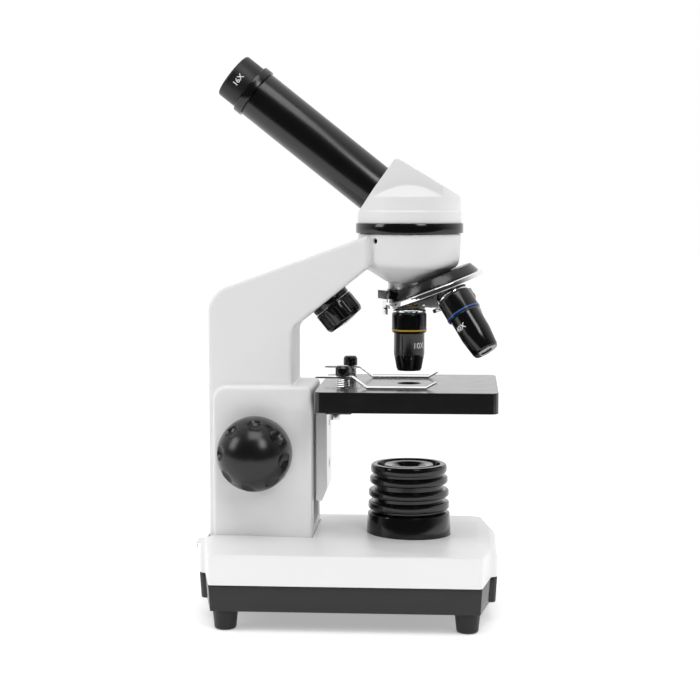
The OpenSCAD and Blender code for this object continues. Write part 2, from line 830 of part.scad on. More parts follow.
module slide_block() {
    color("silver") placed() difference() {
        translate([0, 0, slide_bottom_z]) linear_extrude(slide_top_z - slide_bottom_z) polygon([
            [slide_rear_x, -12], [rail_rear_x - 0.3, -12], [rail_rear_x - 0.3, -8],
            [slide_front_x, -8], [slide_front_x, 8], [rail_rear_x - 0.3, 8],
            [rail_rear_x - 0.3, 12], [slide_rear_x, 12]]);
        for (z = carriage_screw_heights) translate([slide_front_x - 10, 0, z]) rotate([0, 90, 0])
            cylinder(r = foot_screw_radius, h = 20);
    }
}

// Half width of a rack tooth at a height above its pitch line
function rack_half(height) = tooth_thickness / 2 - height * tan(pressure_angle);

rack_root = 1.25 * tooth_module;
rack_tip = 0.7 * tooth_module;
rack_bottom_z = 76;
rack_top_z = 108;

module focus_rack() {
    color("goldenrod") placed() upright(4) polygon(concat(
        [[slide_rear_x, rack_top_z], [slide_rear_x, rack_bottom_z],
            [rack_line_x + rack_root, rack_bottom_z]],
        [for (k = [-3:6], corner = [
                [rack_root, -rack_half(-rack_root)], [-rack_tip, -rack_half(rack_tip)],
                [-rack_tip, rack_half(rack_tip)], [rack_root, rack_half(-rack_root)]])
            [rack_line_x + corner[0], shaft_z + (k + 0.5) * PI * tooth_module + corner[1]]],
        [[rack_line_x + rack_root, rack_top_z]]));
}

module focus_pinion() {
    color("goldenrod") placed() translate([shaft_x, 0, shaft_z]) difference() {
        upright(4.2) polygon([
            for (i = [0:pinion_teeth - 1], step = [-4:4])
                let (
                    side = step < 0 ? -1 : 1,
                    radii = [pinion_tip, pinion_tip, pitch_radius + 0.5, pitch_radius, pinion_root],
                    r = radii[abs(step)],
                    a = 360 * i / pinion_teeth + side * (step == 0 ? 0 : half_tooth(r)))
                [r * cos(a), r * sin(a)]]);
        rotate([90, 0, 0]) cylinder(r = shaft_radius, h = 20, center = true);
    }
}

module focus_shaft() {
    color("silver") placed() translate([shaft_x, 0, shaft_z]) rotate([90, 0, 0])
        cylinder(r = shaft_radius, h = 88, center = true);
}

module focus_knobs() {
    color([0.07, 0.07, 0.07]) for (side = [-1, 1]) on_shaft(side) difference() {
        rotate_extrude() polygon(concat(
            [[0, 27], [knob_radius - 1.5, 27], [knob_radius - 0.4, 27.6], [knob_radius, 28.8]],
            [for (i = [0:12]) let (a = 7.5 * i) [knob_radius * cos(a), 33 + 17 * sin(a)]]));
        translate([0, 0, 20]) cylinder(r = shaft_radius, h = 24);
        for (i = [0:7]) rotate([0, 0, 45 * i - 6]) translate([knob_radius + 0.7, 0, 43.9])
            sphere(r = 6);
    }
}

module carriage_screws() {
    color("silver") placed() for (z = carriage_screw_heights)
        translate([carriage_front_x - carriage_bore, 0, z]) rotate([0, -90, 0])
            screw(2.6, 1.8, foot_screw_radius, 12);
}

module stage_bracket() {
    color([0.06, 0.06, 0.06]) placed() difference() {
        translate([carriage_front_x, -24, stage_bottom_z - bracket_depth])
            cube([13, 48, bracket_depth]);
        for (p = stage_screw_places)
            translate([p[0], p[1], 90]) cylinder(r = foot_screw_radius, h = 30);
    }
}

module stage_screws() {
    color("silver") placed() for (p = stage_screw_places)
        translate([p[0], p[1], stage_bottom_z - bracket_depth])
            screw(2.5, 3, foot_screw_radius, 8);
}

// Square with rounded corners
function rounded_square(half, radius) = concat(
    arc([half - radius, half - radius], radius, 0, 90, 4),
    arc([radius - half, half - radius], radius, 90, 180, 4),
    arc([radius - half, radius - half], radius, 180, 270, 4),
    arc([half - radius, radius - half], radius, 270, 360, 4));

module stage_plate() {
    half = stage_size / 2;
    color([0.07, 0.07, 0.075]) placed() difference() {
        union() {
            difference() {
                translate([0, 0, stage_bottom_z]) linear_extrude(stage_depth)
                    polygon(rounded_square(half, 4));
                translate([0, 0, stage_bottom_z - eps])
                    linear_extrude(stage_depth - stage_skin + eps)
                        polygon(rounded_square(half - stage_wall, 2));
            }
            for (p = stage_screw_places)
                translate([p[0], p[1], stage_bottom_z]) cylinder(r = 4.2, h = stage_depth - 2);
            translate([diaphragm_x, 0, stage_top_z - stage_skin - 1.2]) cylinder(r = 3.5, h = 2);
        }
        translate([0, 0, stage_bottom_z]) cylinder(r = 6, h = 20);
        for (side = [-1, 1]) translate([post_x, side * clip_y, stage_bottom_z])
            cylinder(r = post_radius, h = 20);
        for (p = stage_screw_places)
            translate([p[0], p[1], stage_bottom_z - 1]) cylinder(r = foot_screw_radius, h = 9);
        translate([diaphragm_x, 0, stage_bottom_z]) cylinder(r = 2, h = 8.5);
    }
}

disc_z = stage_top_z - stage_skin - 2.7;

module diaphragm() {
    color("dimgray") placed() translate([diaphragm_x, 0, disc_z]) difference() {
        cylinder(r = 22, h = 1.2);
        translate([0, 0, -1]) cylinder(r = 2 + running, h = 4);
        for (i = [0:4]) rotate([0, 0, 180 + 72 * i])
            translate([diaphragm_x, 0, -1]) cylinder(r = 5.5 - i, h = 4);
    }
}

module diaphragm_screw() {
    color("silver") placed() translate([diaphragm_x, 0, disc_z - 0.3]) screw(4, 1.5, 2, 4.2);
}

clip_low_z = stage_top_z + 0.2;
clip_high_z = stage_top_z + 5.35;

module clip_posts() {
    color("silver") placed() for (side = [-1, 1]) translate([post_x, side * clip_y, 0]) {
        translate([0, 0, stage_top_z - stage_skin - 2]) cylinder(r = post_radius, h = 13.5);
        translate([0, 0, stage_top_z - stage_skin - 2]) cylinder(r = 3.4, h = 2, $fn = 6);
    }
}

module clip_knobs() {
    color([0.05, 0.05, 0.05]) placed() for (side = [-1, 1])
        translate([post_x, side * clip_y, clip_high_z + strip_thickness + 0.2]) difference() {
            rotate_extrude() polygon([
                [0, 0], [3.4, 0], [3.7, 0.3], [3.7, 3.9], [2.8, 5.1], [0, 5.1]]);
            translate([0, 0, -eps]) cylinder(r = post_radius, h = 2.9);
        }
}

module clip_springs() {
    color("silver") placed() for (side = [-1, 1])
        translate([post_x, side * clip_y, stage_top_z])
            coil(3, 0.45, clip_high_z - stage_top_z - 0.25, 4);
}

// A sprung strip, flat under its knob, bent down to the stage and turned up at its tip
module clip(side) {
    path = [[-45.5, clip_high_z], [-27, clip_high_z], [-20, clip_low_z], [9.5, clip_low_z],
        [14.3, clip_low_z + 2.7]];
    count = len(path);
    placed() translate([0, side * clip_y, 0]) difference() {
        upright(strip_width / 2) polygon(concat(
            path,
            [for (i = [count - 1:-1:0]) path[i] + [0, strip_thickness]]));
        translate([post_x, 0, clip_high_z - 1]) cylinder(r = post_radius + running, h = 3);
    }
}

module clip_near() {
    color("silver") clip(-1);
}

module clip_far() {
    color("silver") clip(1);
}

base_shell();
base_plate();
rubber_feet();
foot_screws();
battery_tray();
batteries();
battery_springs();
battery_cover();
control_board();
light_switch();
power_jack();
jack_nut();
arm();
arm_screws();
shaft_bushes();
guide_rails();
head_lock_screw();
lamp_housing();
lamp_board();
collector_lens();
upper_lamp_collar();
upper_lamp_led();
upper_lamp_barrel();
upper_lamp_lens();
nosepiece_collar();
nosepiece_base();
nosepiece_bracket();
click_spring();
pivot_screw();
revolver();
objective_4x();
objective_10x();
objective_40x();
objective_bands();
objective_lenses();
head_shell();
swivel_ring();
head_flange();
prism();
eyepiece_tube();
eyepiece_barrel();
eyecup();
eyepiece_lenses();
carriage();
slide_block();
focus_rack();
carriage_screws();
stage_bracket();
stage_screws();
stage_plate();
diaphragm();
diaphragm_screw();
clip_posts();
clip_knobs();
clip_springs();
clip_near();
clip_far();
focus_shaft();
focus_pinion();
focus_knobs();
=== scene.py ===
"""A student microscope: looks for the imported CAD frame. Shapes are written in millimetres."""

import json
import math

import bmesh
import bpy
from mathutils import Matrix, Vector


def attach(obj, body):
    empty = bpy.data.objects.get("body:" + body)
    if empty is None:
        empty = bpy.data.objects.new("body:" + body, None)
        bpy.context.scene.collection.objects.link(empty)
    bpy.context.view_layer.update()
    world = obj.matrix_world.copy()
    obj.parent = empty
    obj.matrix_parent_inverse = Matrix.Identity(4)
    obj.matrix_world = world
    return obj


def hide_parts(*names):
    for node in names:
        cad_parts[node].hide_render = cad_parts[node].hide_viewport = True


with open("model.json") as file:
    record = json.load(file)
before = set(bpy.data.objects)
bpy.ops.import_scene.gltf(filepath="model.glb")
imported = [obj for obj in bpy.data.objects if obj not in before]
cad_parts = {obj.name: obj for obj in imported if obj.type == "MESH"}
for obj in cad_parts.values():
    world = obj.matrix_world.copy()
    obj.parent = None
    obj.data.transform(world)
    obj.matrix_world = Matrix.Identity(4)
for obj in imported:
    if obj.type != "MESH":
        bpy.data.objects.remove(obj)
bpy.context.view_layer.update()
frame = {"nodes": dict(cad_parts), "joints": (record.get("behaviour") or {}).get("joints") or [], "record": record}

MM = 0.001
JOINTS = {joint["name"]: joint for joint in frame["joints"]}
SLOT_OF = {part["node"]: part["material_slot"] for part in frame["record"]["subparts"]}
BODY_OF = {
    node: body
    for body, nodes in frame["record"]["behaviour"]["bodies"].items()
    for node in nodes
}

# ---------------------------------------------------------------- places


def looking(origin, direction, side=(0, 1, 0)):
    """A frame at origin whose +Z is direction and whose +Y is near side."""
    z = Vector(direction).normalized()
    x = Vector(side).cross(z).normalized()
    y = z.cross(x)
    turn = Matrix((x, y, z)).transposed().to_4x4()
    return Matrix.Translation(Vector(origin)) @ turn


OPTICAL_X = JOINTS["head_swivel"]["pos_m"][0]
TURRET_TILT = math.acos(-JOINTS["revolver_turn"]["axis"][2])
TUBE_CROSS_Z = 202.4 * MM
OPTICAL = Matrix.Translation((OPTICAL_X, 0, 0))
TUBE = looking((OPTICAL_X, 0, TUBE_CROSS_Z), JOINTS["eyepiece_pull"]["axis"])
TURRET = looking(JOINTS["revolver_turn"]["pos_m"], JOINTS["revolver_turn"]["axis"])
LAMP = looking(JOINTS["upper_lamp_turn"]["pos_m"], JOINTS["upper_lamp_turn"]["axis"])
SHAFT = JOINTS["focus_turn"]["pos_m"]


def objective_frame(number):
    """The frame of objective 0, 1 or 2, whose +Z runs towards the specimen."""
    turn = Matrix.Rotation(math.radians(-120 * number), 4, "Z")
    return TURRET @ turn @ Matrix.Rotation(TURRET_TILT, 4, "Y")


# ---------------------------------------------------------------- camera, lights, floor

EYE = (OPTICAL_X + 0.0285, -0.85, 0.2091)
AIM_LEFT = math.radians(3.96)
AIM_DOWN = math.radians(5.02)
LENS_MM = 85.76


def camera():
    """The viewpoint: 850 mm in front of the object's middle plane, a little right of its axis."""
    data = bpy.data.cameras.new("camera")
    data.lens = LENS_MM
    data.sensor_width = 36
    data.dof.use_dof = False
    cam = bpy.data.objects.new("camera", data)
    bpy.context.collection.objects.link(cam)
    cam.matrix_world = (
        Matrix.Translation(EYE)
        @ Matrix.Rotation(AIM_LEFT, 4, "Z")
        @ Matrix.Rotation(math.pi / 2 - AIM_DOWN, 4, "X")
    )
    bpy.context.scene.camera = cam


MIDDLE = Vector((0, 0, 0.14))
# Name, direction from the middle, distance, width and height, power
SOFTBOXES = [
    ("box_left", (-0.83, -0.38, 0.42), 1.25, (0.4, 0.6), 3.6),
    ("box_right", (0.42, -0.73, 0.54), 1.25, (0.35, 0.5), 3.8),
    ("box_top", (0.05, -0.5, 0.87), 1.3, (0.8, 0.6), 5.5),
]
# The room brightens towards this direction, and the camera sees the backdrop instead
BRIGHT_SIDE = (0, 1, 0.5)
ROOM_FADE = {"From Min": -0.6, "From Max": 0.8, "To Min": 0.04, "To Max": 1.02}
BACKDROP = 1.0
FLOOR_SIZE = 6
FLOOR_FRONT = -0.38
FLOOR_Z = -0.0002
FLOOR_GLOW = 0.38


def softbox(name, direction, distance, size, power):
    """A rectangular area light at a distance from the object's middle, aimed at it."""
    data = bpy.data.lights.new(name, "AREA")
    data.shape = "RECTANGLE"
    data.size, data.size_y = size
    data.energy = power
    box = bpy.data.objects.new(name, data)
    bpy.context.collection.objects.link(box)
    away = distance * Vector(direction)
    box.matrix_world = looking(MIDDLE + away, away, (0, 0, 1))


def room():
    """A world bright behind and above and dark in front, so that black parts stay black."""
    world = bpy.data.worlds.new("room")
    bpy.context.scene.world = world
    world.use_nodes = True
    tree = world.node_tree
    place = tree.nodes.new("ShaderNodeTexCoord")
    towards = tree.nodes.new("ShaderNodeVectorMath")
    towards.operation = "DOT_PRODUCT"
    towards.inputs[1].default_value = BRIGHT_SIDE
    tree.links.new(place.outputs["Generated"], towards.inputs[0])
    fade = tree.nodes.new("ShaderNodeMapRange")
    fade.interpolation_type = "SMOOTHSTEP"
    for socket, value in ROOM_FADE.items():
        fade.inputs[socket].default_value = value
    tree.links.new(towards.outputs["Value"], fade.inputs["Value"])
    seen = tree.nodes.new("ShaderNodeLightPath")
    level = tree.nodes.new("ShaderNodeMix")
    level.inputs["B"].default_value = BACKDROP
    tree.links.new(seen.outputs["Is Camera Ray"], level.inputs["Factor"])
    tree.links.new(fade.outputs["Result"], level.inputs["A"])
    tree.links.new(level.outputs["Result"], tree.nodes["Background"].inputs["Strength"])
    tree.nodes["Background"].inputs["Color"].default_value = (1, 1, 1, 1)


def studio():
    """The room, the softboxes, and a pale floor that glows a little so that it stays white."""
    room()
    for box in SOFTBOXES:
        softbox(*box)
    place = (0, FLOOR_FRONT + FLOOR_SIZE / 2, FLOOR_Z)
    bpy.ops.mesh.primitive_plane_add(size=FLOOR_SIZE, location=place)
    floor = bpy.context.object
    floor.name = "floor"
    paper = surface("floor", (0.9, 0.9, 0.9), 0.9, mottle=0.01, bump=0.02, grain=90, specular=0.1)
    shader = paper.node_tree.nodes["Principled BSDF"]
    shader.inputs["Emission Color"].default_value = (1, 1, 1, 1)
    shader.inputs["Emission Strength"].default_value = FLOOR_GLOW
    floor.data.materials.append(paper)
    bpy.context.scene.view_settings.view_transform = "Standard"


# ---------------------------------------------------------------- materials


def surface(
    name, colour, rough, metal=0.0, coat=0.0, coat_rough=0.1, mottle=0.04, bump=0.05, grain=1500,
    stretch=(1, 1, 1), rough_spread=0.08, specular=0.5,
):
    """A surface with fine grain, slightly uneven colour and gloss, in object space."""
    material = bpy.data.materials.new(name)
    material.use_nodes = True
    tree = material.node_tree
    shader = tree.nodes["Principled BSDF"]
    shader.inputs["Metallic"].default_value = metal
    shader.inputs["Coat Weight"].default_value = coat
    shader.inputs["Coat Roughness"].default_value = coat_rough
    shader.inputs["Specular IOR Level"].default_value = specular
    place = tree.nodes.new("ShaderNodeTexCoord")
    mapping = tree.nodes.new("ShaderNodeMapping")
    mapping.inputs["Scale"].default_value = stretch
    tree.links.new(place.outputs["Object"], mapping.inputs["Vector"])

    def noise(scale, detail):
        node = tree.nodes.new("ShaderNodeTexNoise")
        node.inputs["Scale"].default_value = scale
        node.inputs["Detail"].default_value = detail
        tree.links.new(mapping.outputs["Vector"], node.inputs["Vector"])
        return node.outputs["Fac"]

    def ramp(source, low, high):
        node = tree.nodes.new("ShaderNodeMapRange")
        node.inputs["To Min"].default_value = low
        node.inputs["To Max"].default_value = high
        tree.links.new(source, node.inputs["Value"])
        return node.outputs["Result"]

    cloud = noise(38, 4)
    mix = tree.nodes.new("ShaderNodeMix")
    mix.data_type = "RGBA"
    mix.inputs["A"].default_value = (*[c * (1 - mottle) for c in colour], 1)
    mix.inputs["B"].default_value = (*[min(1, c * (1 + mottle)) for c in colour], 1)
    tree.links.new(cloud, mix.inputs["Factor"])
    tree.links.new(mix.outputs["Result"], shader.inputs["Base Color"])
    patches = ramp(noise(110, 3), max(0.02, rough - rough_spread), min(1, rough + rough_spread))
    tree.links.new(patches, shader.inputs["Roughness"])
    relief = tree.nodes.new("ShaderNodeBump")
    relief.inputs["Strength"].default_value = bump
    relief.inputs["Distance"].default_value = 0.0002
    tree.links.new(noise(grain, 2), relief.inputs["Height"])
    tree.links.new(relief.outputs["Normal"], shader.inputs["Normal"])
    return material


def lens_glass(name, tint):
    """Coated optical glass."""
    material = surface(name, tint, 0.03, mottle=0.01, bump=0.0, rough_spread=0.01)
    shader = material.node_tree.nodes["Principled BSDF"]
    shader.inputs["Transmission Weight"].default_value = 0.85
    shader.inputs["IOR"].default_value = 1.52
    shader.inputs["Thin Film Thickness"].default_value = 420
    return material


MATERIALS = {
    "white_enamel": surface("white_enamel", (0.84, 0.84, 0.84), 0.42, coat=0.15, coat_rough=0.25,
                            mottle=0.012, bump=0.10, grain=1300),
    "white_plastic": surface("white_plastic", (0.86, 0.86, 0.86), 0.36, coat=0.1, coat_rough=0.25,
                             mottle=0.012, bump=0.06, grain=1600),
    "black_plastic": surface("black_plastic", (0.006, 0.006, 0.0065), 0.24, mottle=0.15, bump=0.05,
                             grain=2600, specular=0.45, rough_spread=0.05),
    "gloss_black": surface("gloss_black", (0.004, 0.004, 0.0045), 0.13, mottle=0.2, bump=0.04,
                           grain=500, rough_spread=0.04),
    "satin_black": surface("satin_black", (0.004, 0.004, 0.0045), 0.22, mottle=0.15, bump=0.02,
                           grain=2200, rough_spread=0.04, specular=0.5),
    "stage_black": surface("stage_black", (0.006, 0.006, 0.006), 0.24, mottle=0.2, bump=0.12,
                           grain=2400, coat=0.4, coat_rough=0.08, rough_spread=0.05),
    "black_rubber": surface("black_rubber", (0.011, 0.011, 0.012), 0.4, mottle=0.15, bump=0.05,
                            grain=1800, specular=0.35),
    "matte_black": surface("matte_black", (0.003, 0.003, 0.003), 0.6, mottle=0.2, bump=0.1,
                           grain=2000, specular=0.1),
    "chrome": surface("chrome", (0.86, 0.86, 0.87), 0.08, metal=1, mottle=0.03, bump=0.02,
                      grain=900, rough_spread=0.04),
    "steel": surface("steel", (0.62, 0.62, 0.63), 0.22, metal=1, mottle=0.06, bump=0.12,
                     grain=2200, stretch=(0.06, 1, 1)),
    "brass": surface("brass", (0.74, 0.55, 0.26), 0.25, metal=1, mottle=0.08, bump=0.1,
                     grain=1800, stretch=(1, 0.1, 1)),
    "satin_aluminium": surface("satin_aluminium", (0.72, 0.72, 0.73), 0.34, metal=1, mottle=0.04,
                               bump=0.1, grain=2500),
    "board_green": surface("board_green", (0.02, 0.16, 0.06), 0.3, mottle=0.2, bump=0.2, grain=700),
    "cell_wrap": surface("cell_wrap", (0.06, 0.11, 0.22), 0.25, mottle=0.1, bump=0.03, grain=400),
    "led_white": surface("led_white", (0.92, 0.9, 0.78), 0.2, mottle=0.03, bump=0.02, grain=400),
    "band_colours": surface("band_colours", (0.8, 0.58, 0.06), 0.25, coat=0.4, mottle=0.05,
                            bump=0.02, grain=900),
    "band_yellow": surface("band_yellow", (0.62, 0.38, 0.05), 0.25, coat=0.4, mottle=0.05,
                           bump=0.02, grain=900),
    "band_blue": surface("band_blue", (0.02, 0.09, 0.32), 0.25, coat=0.4, mottle=0.05,
                         bump=0.02, grain=900),
    "band_red": surface("band_red", (0.45, 0.02, 0.02), 0.25, coat=0.4, mottle=0.05,
                        bump=0.02, grain=900),
    "white_print": surface("white_print", (0.8, 0.8, 0.8), 0.5, mottle=0.05, bump=0.05, grain=900),
    "glass": lens_glass("glass", (0.9, 0.95, 1.0)),
}

# ---------------------------------------------------------------- finish of the CAD nodes


def soften(obj, width, angle=35, segments=3):
    """Rounds a CAD node's sharp edges with modifiers, which leave its own mesh alone."""
    weld = obj.modifiers.new("weld", "WELD")
    weld.merge_threshold = 0.00001
    flat = obj.modifiers.new("flat", "DECIMATE")
    flat.decimate_type = "DISSOLVE"
    flat.angle_limit = math.radians(0.4)
    bevel = obj.modifiers.new("bevel", "BEVEL")
    bevel.width = width
    bevel.segments = segments
    bevel.limit_method = "ANGLE"
    bevel.angle_limit = math.radians(angle)
    bevel.harden_normals = True
    return obj


# Nodes whose look differs from their slot
OWN_LOOK = {"head_lock_screw": "matte_black"}
EDGE_MM = {"stage_plate": 0.6, "carriage": 0.8, "rubber_feet": 0.4, "focus_knobs": 0.35}
FINE_EDGE_MM = 0.25


def dress_cad():
    """Gives each CAD node its slot's material and softened edges."""
    for name, obj in frame["nodes"].items():
        obj.data.materials.clear()
        obj.data.materials.append(MATERIALS[OWN_LOOK.get(name, SLOT_OF[name])])
        soften(obj, EDGE_MM.get(name, FINE_EDGE_MM) * MM)


# ---------------------------------------------------------------- mesh tools


def rounded(corners, steps=6):
    """Outline points of a polygon whose corners are (x, y) or (x, y, radius)."""
    points = []
    count = len(corners)
    for i, corner in enumerate(corners):
        here = Vector(corner[:2])
        radius = corner[2] if len(corner) > 2 else 0
        if radius == 0:
            points.append(here)
            continue
        before = (Vector(corners[i - 1][:2]) - here).normalized()
        after = (Vector(corners[(i + 1) % count][:2]) - here).normalized()
        half = before.angle(after) / 2
        centre = here + (before + after).normalized() * radius / math.sin(half)
        start = here + before * radius / math.tan(half) - centre
        end = here + after * radius / math.tan(half) - centre
        sweep = start.angle_signed(end)
        for step in range(steps + 1):
            points.append(centre + Matrix.Rotation(-sweep * step / steps, 2) @ start)
    return [(p.x, p.y) for p in points]


def link_mesh(name, mesh, place):
    """Turns a bmesh in millimetres into a linked object."""
    bmesh.ops.remove_doubles(mesh, verts=mesh.verts, dist=1e-5)
    bmesh.ops.recalc_face_normals(mesh, faces=mesh.faces)
    data = bpy.data.meshes.new(name)
    mesh.to_mesh(data)
    mesh.free()
    data.transform(place @ Matrix.Scale(MM, 4))
    obj = bpy.data.objects.new(name, data)
    bpy.context.collection.objects.link(obj)
    return obj


def shade(obj, crease=32):
    """Smooth shading with sharp edges above an angle."""
    obj.data.polygons.foreach_set("use_smooth", [True] * len(obj.data.polygons))
    obj.data.set_sharp_from_angle(angle=math.radians(crease))


def piece(obj, material, body, nodes=(), crease=32):
    """Gives an object its finish and its body, and hides the CAD nodes it stands for."""
    obj.data.materials.clear()
    obj.data.materials.append(MATERIALS[material])
    shade(obj, crease)
    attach(obj, body)
    if nodes:
        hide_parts(*nodes)
    return obj


def turned(profile, steps=96, ring=False):
    """A bmesh of a profile of (radius, height) points turned about Z."""
    mesh = bmesh.new()
    columns = []
    for radius, height in profile:
        count = steps if radius > 1e-6 else 1
        columns.append([
            mesh.verts.new((
                radius * math.cos(math.tau * i / steps), radius * math.sin(math.tau * i / steps),
                height))
            for i in range(count)])
    pairs = list(zip(columns, columns[1:]))
    if ring:
        pairs.append((columns[-1], columns[0]))
    for low, high in pairs:
        for i in range(steps):
            j = (i + 1) % steps
            loop = [low[i % len(low)], low[j % len(low)], high[j % len(high)], high[i % len(high)]]
            loop = list(dict.fromkeys(loop))
            if len(loop) > 2:
                mesh.faces.new(loop)
    return mesh


def extruded(outline, low, high, edge=0.0, upright=True, segments=4):
    """A bmesh of an outline given a thickness along Y (upright) or Z, with rounded rims."""
    mesh = bmesh.new()

    def lift(point, depth):
        return (point[0], depth, point[1]) if upright else (point[0], point[1], depth)

    bottom = [mesh.verts.new(lift(p, low)) for p in outline]
    top = [mesh.verts.new(lift(p, high)) for p in outline]
    caps = [mesh.faces.new(bottom), mesh.faces.new(top)]
    for i in range(len(outline)):
        j = (i + 1) % len(outline)
        mesh.faces.new((bottom[i], bottom[j], top[j], top[i]))
    bmesh.ops.recalc_face_normals(mesh, faces=mesh.faces)
    if edge:
        rims = list({rim for cap in caps for rim in cap.edges})
        bmesh.ops.bevel(
            mesh, geom=rims, offset=edge, segments=segments, profile=0.5, affect="EDGES",
            clamp_overlap=True)
    return mesh


def block(low, high):
    """A bmesh of a plain box between two corners, for cutting."""
    outline = [(low[0], low[1]), (high[0], low[1]), (high[0], high[1]), (low[0], high[1])]
    return extruded(outline, low[2], high[2], upright=False)


def rod(radius, low, high, steps=64):
    """A bmesh of a plain round bar along Z, for cutting."""
    return turned([(0, low), (radius, low), (radius, high), (0, high)], steps)


def hull_of(points):
    """A bmesh of the convex hull of some points."""
    mesh = bmesh.new()
    for point in points:
        mesh.verts.new(point)
    made = bmesh.ops.convex_hull(mesh, input=mesh.verts)
    unused = made["geom_interior"] + made["geom_unused"]
    loose = {item for item in unused if isinstance(item, bmesh.types.BMVert)}
    bmesh.ops.delete(mesh, geom=list(loose), context="VERTS")
    return mesh


def bake(obj):
    """Replaces a piece's mesh by what its modifiers make of it."""
    graph = bpy.context.evaluated_depsgraph_get()
    data = bpy.data.meshes.new_from_object(obj.evaluated_get(graph))
    obj.modifiers.clear()
    obj.data = data


def combine(obj, tools, operation="DIFFERENCE"):
    """Applies a Boolean with each tool, given as (bmesh, place) or as an object."""
    objects = [tool if hasattr(tool, "data") else link_mesh("tool", *tool) for tool in tools]
    for tool in objects:
        modifier = obj.modifiers.new("cut", "BOOLEAN")
        modifier.operation = operation
        modifier.object = tool
        modifier.solver = "EXACT"
    bake(obj)
    for tool in objects:
        bpy.data.objects.remove(tool)
    return obj


def merge(name, objects):
    """One object from several, which may overlap until it is remeshed."""
    whole = bmesh.new()
    for part in objects:
        whole.from_mesh(part.data)
        bpy.data.objects.remove(part)
    data = bpy.data.meshes.new(name)
    whole.to_mesh(data)
    whole.free()
    obj = bpy.data.objects.new(name, data)
    bpy.context.collection.objects.link(obj)
    return obj


def melt(obj, voxel, rounds, keep):
    """Remeshes an object evenly, eases its edges and thins the mesh where it is flat."""
    remesh = obj.modifiers.new("remesh", "REMESH")
    remesh.mode = "VOXEL"
    remesh.voxel_size = voxel * MM
    ease = obj.modifiers.new("ease", "SMOOTH")
    ease.factor = 0.5
    ease.iterations = rounds
    thin = obj.modifiers.new("thin", "DECIMATE")
    thin.ratio = keep
    bake(obj)
    return obj


# ---------------------------------------------------------------- white castings

# Side outlines are (x, z) or (x, z, corner radius) from the optical axis and the floor.
# Profiles are (radius, height). Plan outlines are (x, y), and a box is two corners.

ARM_SIDE = [(-100.5, 30), (-100.5, 164.2, 14), (-20, 193.3), (-20, 177.1), (-58, 146.5, 6), (-58, 30)]
HOUSING_SIDE = [(-97.8, 30), (-97.8, 117.5, 7), (-47.9, 117.5, 2.5), (-47.9, 30)]
ARM_TOP_Z = 193.8
NECK = [
    (0, 169.3), (11.2, 169.3), (21.5, 175.8), (23.6, 176.9), (24.8, 178.4), (25.4, 180.4),
    (26.2, ARM_TOP_Z), (0, ARM_TOP_Z)]
ARM_SEAT_Z = 40.5
SLIDE_SLOT = (-69.2, -14.2, 46), (-40, 14.2, 114)
RACK_SLOT = (-71.9, -5, 60), (-63.9, 5, 112)
PINION_ROOM_RADIUS = 7.8
BUSH_RADIUS = 6
SOCKET_RADIUS = 20
LIGHT_PATH_RADIUS = 5
NOSEPIECE_FACE = 29.6
LOCK_HOLE_RADIUS = 1.5
LOCK_HOLE = (
    OPTICAL
    @ Matrix.Rotation(math.radians(230.6), 4, "Z")
    @ Matrix.Translation((0.015, 0, 0.1905))
    @ Matrix.Rotation(math.pi / 2, 4, "Y")
)


def arm():
    """The cast arm with its focus housing and round neck, melted together and then bored."""
    obj = merge("arm_casting", [
        link_mesh("limb", extruded(rounded(ARM_SIDE, 10), -21, 21, 1.6), OPTICAL),
        link_mesh("housing", extruded(rounded(HOUSING_SIDE, 8), -25, 25, 1.4), OPTICAL),
        link_mesh("neck", turned(NECK), OPTICAL),
    ])
    melt(obj, 0.6, 4, 0.35)
    shaft = Matrix.Translation(SHAFT) @ Matrix.Rotation(math.pi / 2, 4, "X")
    combine(obj, [
        (block((-120, -60, 20), (20, 60, ARM_SEAT_Z)), OPTICAL),
        (block((-40, -60, ARM_TOP_Z), (40, 60, 200)), OPTICAL),
        (block(*SLIDE_SLOT), OPTICAL),
        (block(*RACK_SLOT), OPTICAL),
        (rod(PINION_ROOM_RADIUS, -5, 5), shaft),
        (rod(BUSH_RADIUS, -40, 40), shaft),
        (rod(SOCKET_RADIUS, 185, 200, 128), OPTICAL),
        (rod(LIGHT_PATH_RADIUS, 160, 190), OPTICAL),
        (rod(LOCK_HOLE_RADIUS, 0, 15, 32), LOCK_HOLE),
        (rod(45, NOSEPIECE_FACE, 70), TURRET),
    ])
    return piece(obj, "white_enamel", "stand", ["arm"])


BASE_SIDE = [
    (-104.8, -26.5), (-103.3, -28), (-101.6, -28.4), (-95.9, -56), (37.5, -56), (42.2, -28.5),
    (44.2, -28), (45.3, -26.5)]
BASE_MIDDLE_X = -29
BASE_WALL = 2.5
TRAY_WALL = 3
TRAY_FLOOR = 2.5
FOOT_TOP_Z = 10.4
SEAM_Z = 23.5
LAMP_SEAT_Z = 38.5
ROOF = [
    (-105.8, 28, 33), (-103.5, 25.5, 39), (-101, 23, 41.5), (-97.5, 21, 42.75), (35.6, 33, 39.3),
    (42.1, 31, 37.9), (44.7, 29, 35.6), (45.9, 28, 32), (-97, 60, 37.9), (38.7, 60, 38.2),
    (-108, 60, 15), (48, 60, 15)]
ARM_POCKET = (-100.8, -25.35, ARM_SEAT_Z), (-47.55, 25.35, 50)
SWITCH_WINDOW = (-40, 48, 27), (-23.6, 70, 37.4)
BATTERY_DOOR = (-62, -27, FOOT_TOP_Z - 1), (2, 27, FOOT_TOP_Z + 4)
LAMP_HOLE_RADIUS = 21.7
JACK_RADIUS = 4
JACK = OPTICAL @ Matrix.Translation((-0.112, 0, 0.031)) @ Matrix.Rotation(math.pi / 2, 4, "Y")
FOOT_TAPER = (0.989, 0.986)


def both_sides(points):
    """Outline points together with their mirror images in Y."""
    return points + [(x, -y) for x, y in reversed(points)]


